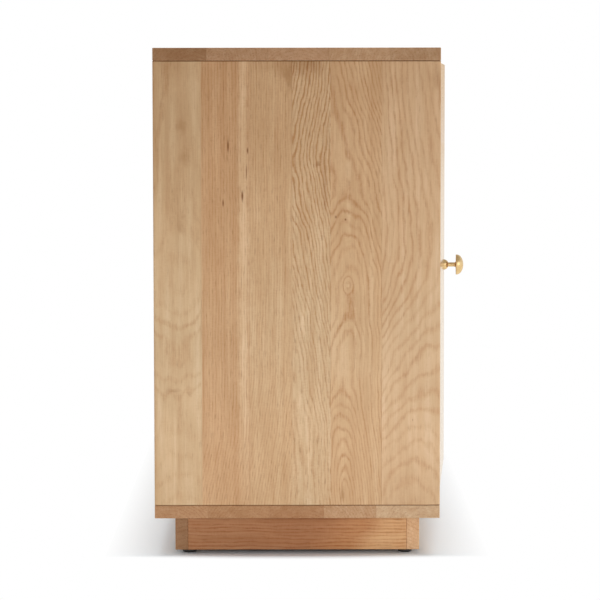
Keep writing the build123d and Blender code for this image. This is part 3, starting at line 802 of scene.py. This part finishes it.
def crossHead(bm, place, radius, rise, arm, half):
    before = set(bm.verts)
    top = radius * screws["topShare"]
    rim = bmesh.ops.create_circle(bm, cap_ends=False, radius=top, segments=screws["sides"])["verts"]
    bmesh.ops.translate(bm, verts=rim, vec=(0.0, 0.0, rise))
    edges = list({edge for vert in rim for edge in vert.link_edges})
    corners = [(arm, half), (half, half), (half, arm)]
    outline = []
    for quarter in range(4):
        turn = Matrix.Rotation(quarter * math.pi / 2, 3, "Z")
        outline += [bm.verts.new(turn @ Vector((x, y, rise))) for x, y in corners]
    slot = bm.faces.new(outline)
    bmesh.ops.bridge_loops(bm, edges=edges + list(slot.edges))
    sunk = bmesh.ops.extrude_face_region(bm, geom=[slot])["geom"]
    floor = [item for item in sunk if isinstance(item, bmesh.types.BMVert)]
    bmesh.ops.translate(bm, verts=floor, vec=(0.0, 0.0, -rise * screws["crossSink"]))
    if slot.is_valid:
        bmesh.ops.delete(bm, geom=[slot], context="FACES_ONLY")
    for share, level in screws["profile"]:
        grown = bmesh.ops.extrude_edge_only(bm, edges=edges)["geom"]
        ring = [item for item in grown if isinstance(item, bmesh.types.BMVert)]
        edges = [item for item in grown if isinstance(item, bmesh.types.BMEdge)]
        for vert in ring:
            flat = Vector((vert.co.x, vert.co.y, 0.0)).normalized() * radius * share
            vert.co = (flat.x, flat.y, rise * level)
    bmesh.ops.contextual_create(bm, geom=edges)
    bmesh.ops.transform(bm, matrix=place, verts=[vert for vert in bm.verts if vert not in before])


def addPiece(name, bm, body, material):
    bmesh.ops.recalc_face_normals(bm, faces=bm.faces)
    mesh = bpy.data.meshes.new(name)
    bm.to_mesh(mesh)
    bm.free()
    mesh.materials.append(material)
    piece = bpy.data.objects.new(name, mesh)
    scene.collection.objects.link(piece)
    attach(piece, body)


def facing(spot, out):
    return Matrix.Translation(spot) @ Vector(out).to_track_quat("Z", "Y").to_matrix().to_4x4()


def backScrews():
    bm = bmesh.new()
    inset, pitch = screws["backInset"], screws["backPitch"]
    for name in backs["seeds"]:
        low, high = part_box(name)
        left, right = low[0] + inset, high[0] - inset
        foot, head = low[2] + inset, high[2] - inset
        wide = max(2, round((right - left) / pitch))
        tall = max(2, round((head - foot) / pitch))
        spots = [(left + (right - left) * k / wide, level) for k in range(wide + 1) for level in (foot, head)]
        spots += [(x, foot + (head - foot) * k / tall) for k in range(1, tall) for x in (left, right)]
        for x, z in spots:
            crossHead(bm, facing((x, high[1], z), (0.0, 1.0, 0.0)), *screws["dome"])
    addPiece("backPanelScrews", bm, "case", zincSteel)


def catchScrews():
    bm = bmesh.new()
    for hand in ("left", "right"):
        low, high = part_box(hand + "_catch_body")
        for share in screws["catchShares"]:
            spot = (low[0] + (high[0] - low[0]) * share, low[1] + screws["catchInset"], low[2])
            crossHead(bm, facing(spot, (0.0, 0.0, -1.0)), *screws["flat"])
    addPiece("catchScrews", bm, "case", zincSteel)


def strikeScrews(hand, turn):
    low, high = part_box(hand + "_strike_plate")
    middle = (Vector(low) + Vector(high)) / 2
    along = Vector((math.cos(turn), -math.sin(turn), 0.0))
    inward = Vector((math.sin(turn), math.cos(turn), 0.0))
    bm = bmesh.new()
    for step in screws["strikeSteps"]:
        crossHead(bm, facing(middle + along * step + inward * screws["strikeLift"], inward), *screws["flush"])
    addPiece(hand + "StrikeScrews", bm, hand + "_door", zincSteel)


backScrews()
catchScrews()
strikeScrews("left", ajar)
strikeScrews("right", 0.0)
print("screws placed")


# floor, light and camera
studio = {
    "floor": (0.89, 0.955, 1.0), "floorSize": 30.0, "ambient": 0.30,
    # the cabinet's shadow on the floor: its size, and how far past the ends and sides it fades to white
    "halfLong": 0.893, "halfDeep": 0.205, "middle": 0.033, "endFade": (-0.018, 0.026),
    "sideFade": (-0.015, 0.101), "bow": 0.013, "bowLevel": 0.5, "bowMost": 2.0,
    # what glossy surfaces mirror: a pale room with a warm wall past one end, a dim ceiling and a bright pane
    "mirrored": (0.74, 0.56, 0.38), "cream": (0.98, 0.92, 0.83), "far": (2.0, 40.0), "wall": (0.80, 0.96),
    "dusk": (-0.08, 0.02), "overhead": (0.1, 0.75), "ceiling": (0.52, 0.48, 0.42), "pane": (0.9, 0.85, 0.8),
    "paneAhead": -0.7071, "paneShow": (0.80, 0.97),
}
white = (1.0, 1.0, 1.0, 1.0)


# rays that show a picture: straight from the camera, mirrored or seen through something
def pictureRays(tree):
    path = tree.nodes.new("ShaderNodeLightPath")
    mirror = path.outputs["Is Glossy Ray"]
    seen = calc(tree, "MAXIMUM", path.outputs["Is Camera Ray"], mirror)
    return mirror, calc(tree, "MAXIMUM", seen, path.outputs["Is Transmission Ray"])


# the floor is white to the eye, except close to the cabinet, where its shadow shows
def buildFloor():
    bm = bmesh.new()
    bmesh.ops.create_grid(bm, x_segments=2, y_segments=2, size=studio["floorSize"])
    mesh = bpy.data.meshes.new("studioFloor")
    bm.to_mesh(mesh)
    bm.free()
    floor = bpy.data.objects.new("studioFloor", mesh)
    scene.collection.objects.link(floor)
    material, tree, shader = newMaterial("studioFloorPaint")
    shader.inputs["Base Color"].default_value = opaque(studio["floor"])
    shader.inputs["Roughness"].default_value = 1.0
    shader.inputs["Specular IOR Level"].default_value = 0.0
    x, y, z = splitAxes(tree, objectPlace(tree))
    offMiddle = calc(tree, "SUBTRACT", y, studio["middle"])
    pastSide = calc(tree, "SUBTRACT", calc(tree, "ABSOLUTE", offMiddle), studio["halfDeep"])
    # the shadow reaches out farthest in the middle of an end
    bowed = calc(tree, "POWER", calc(tree, "DIVIDE", offMiddle, studio["halfDeep"]), 2.0)
    bowed = calc(tree, "SUBTRACT", calc(tree, "MINIMUM", bowed, studio["bowMost"]), studio["bowLevel"])
    bowed = calc(tree, "MULTIPLY", bowed, studio["bow"])
    pastEnd = calc(tree, "SUBTRACT", calc(tree, "ABSOLUTE", x), studio["halfLong"])
    away = spread(tree, calc(tree, "ADD", pastEnd, bowed), *studio["endFade"])
    away = calc(tree, "MAXIMUM", away, spread(tree, pastSide, *studio["sideFade"], smooth=False))
    mirror, seen = pictureRays(tree)
    glow = tree.nodes.new("ShaderNodeEmission")
    far = spread(tree, x, *studio["far"], smooth=False)
    mirrored = blend(tree, "MIX", far, opaque(studio["cream"]), opaque(studio["mirrored"]))
    tree.links.new(blend(tree, "MIX", mirror, white, mirrored), glow.inputs["Color"])
    mixed = tree.nodes.new("ShaderNodeMixShader")
    tree.links.new(calc(tree, "MULTIPLY", away, seen), mixed.inputs[0])
    tree.links.new(shader.outputs[0], mixed.inputs[1])
    tree.links.new(glow.outputs[0], mixed.inputs[2])
    tree.links.new(mixed.outputs[0], tree.nodes["Material Output"].inputs["Surface"])
    mesh.materials.append(material)


def buildWorld():
    world = bpy.data.worlds.new("studioAir")
    scene.world = world
    world.use_nodes = True
    tree = world.node_tree
    back = tree.nodes["Background"]
    mirror, seen = pictureRays(tree)
    ahead, aside, rise = splitAxes(tree, tree.nodes.new("ShaderNodeTexCoord").outputs["Generated"])
    wall = calc(tree, "MULTIPLY", spread(tree, ahead, *studio["wall"]), spread(tree, rise, *studio["dusk"]))
    room = blend(tree, "MIX", spread(tree, rise, *studio["overhead"]), white, opaque(studio["ceiling"]))
    room = blend(tree, "MIX", wall, room, opaque(studio["mirrored"]))
    pane = calc(tree, "MULTIPLY", calc(tree, "ADD", ahead, aside), studio["paneAhead"])
    room = blend(tree, "ADD", spread(tree, pane, *studio["paneShow"]), room, opaque(studio["pane"]))
    tree.links.new(blend(tree, "MIX", mirror, white, room), back.inputs["Color"])
    strength = spread(tree, seen, 0.0, 1.0, studio["ambient"], 1.0, smooth=False)
    tree.links.new(strength, back.inputs["Strength"])


# place, target, width and height, power
softboxes = {
    "lowEndSoftbox": ((-1.7, -0.22, 0.17), (-0.9, -0.22, 0.17), (2.4, 0.25), 6.3),
    "frontSoftbox": ((-0.4, -4.2, 1.0), (0.0, 0.0, 0.4), (4.4, 1.9), 88.0),
    "topSoftbox": ((0.0, -0.2, 3.8), (0.0, 0.0, 0.4), (3.6, 2.6), 76.0),
    "backSoftbox": ((0.4, 4.2, 1.3), (0.0, 0.0, 0.4), (3.2, 2.2), 60.0),
    "farEndSoftbox": ((4.0, 1.6, 1.6), (0.6, 0.0, 0.4), (1.6, 1.6), 50.0),
}


def addSoftbox(name, place, target, size, power):
    data = bpy.data.lights.new(name, "AREA")
    data.shape = "RECTANGLE"
    data.size, data.size_y = size
    data.energy = power
    lamp = bpy.data.objects.new(name, data)
    scene.collection.objects.link(lamp)
    lamp.location = place
    lamp.rotation_euler = (Vector(target) - Vector(place)).to_track_quat("-Z", "Y").to_euler()
    lamp.visible_camera = False
    lamp.visible_glossy = False  # surfaces mirror the pale room, not the lamps


buildFloor()
buildWorld()
for name, values in softboxes.items():
    addSoftbox(name, *values)

view = {
    "place": (-5.1, 0.03778, 0.74185), "yaw": -0.00232, "pitch": 0.07938, "roll": -0.00128,
    "focalPixels": 2685.542, "picturePixels": 600, "sensor": 36.0,
}
cameraData = bpy.data.cameras.new("endView")
cameraData.lens = view["focalPixels"] * view["sensor"] / view["picturePixels"]
cameraData.sensor_width = view["sensor"]
camera = bpy.data.objects.new("endView", cameraData)
scene.collection.objects.link(camera)
yawed = Matrix.Rotation(view["yaw"] - math.pi / 2, 4, "Z")
pitched = Matrix.Rotation(math.pi / 2 - view["pitch"], 4, "X")
rolled = Matrix.Rotation(view["roll"], 4, "Z")
camera.matrix_world = Matrix.Translation(view["place"]) @ (yawed @ pitched @ rolled)
scene.camera = camera
scene.view_settings.view_transform = "Standard"
print("studio ready")
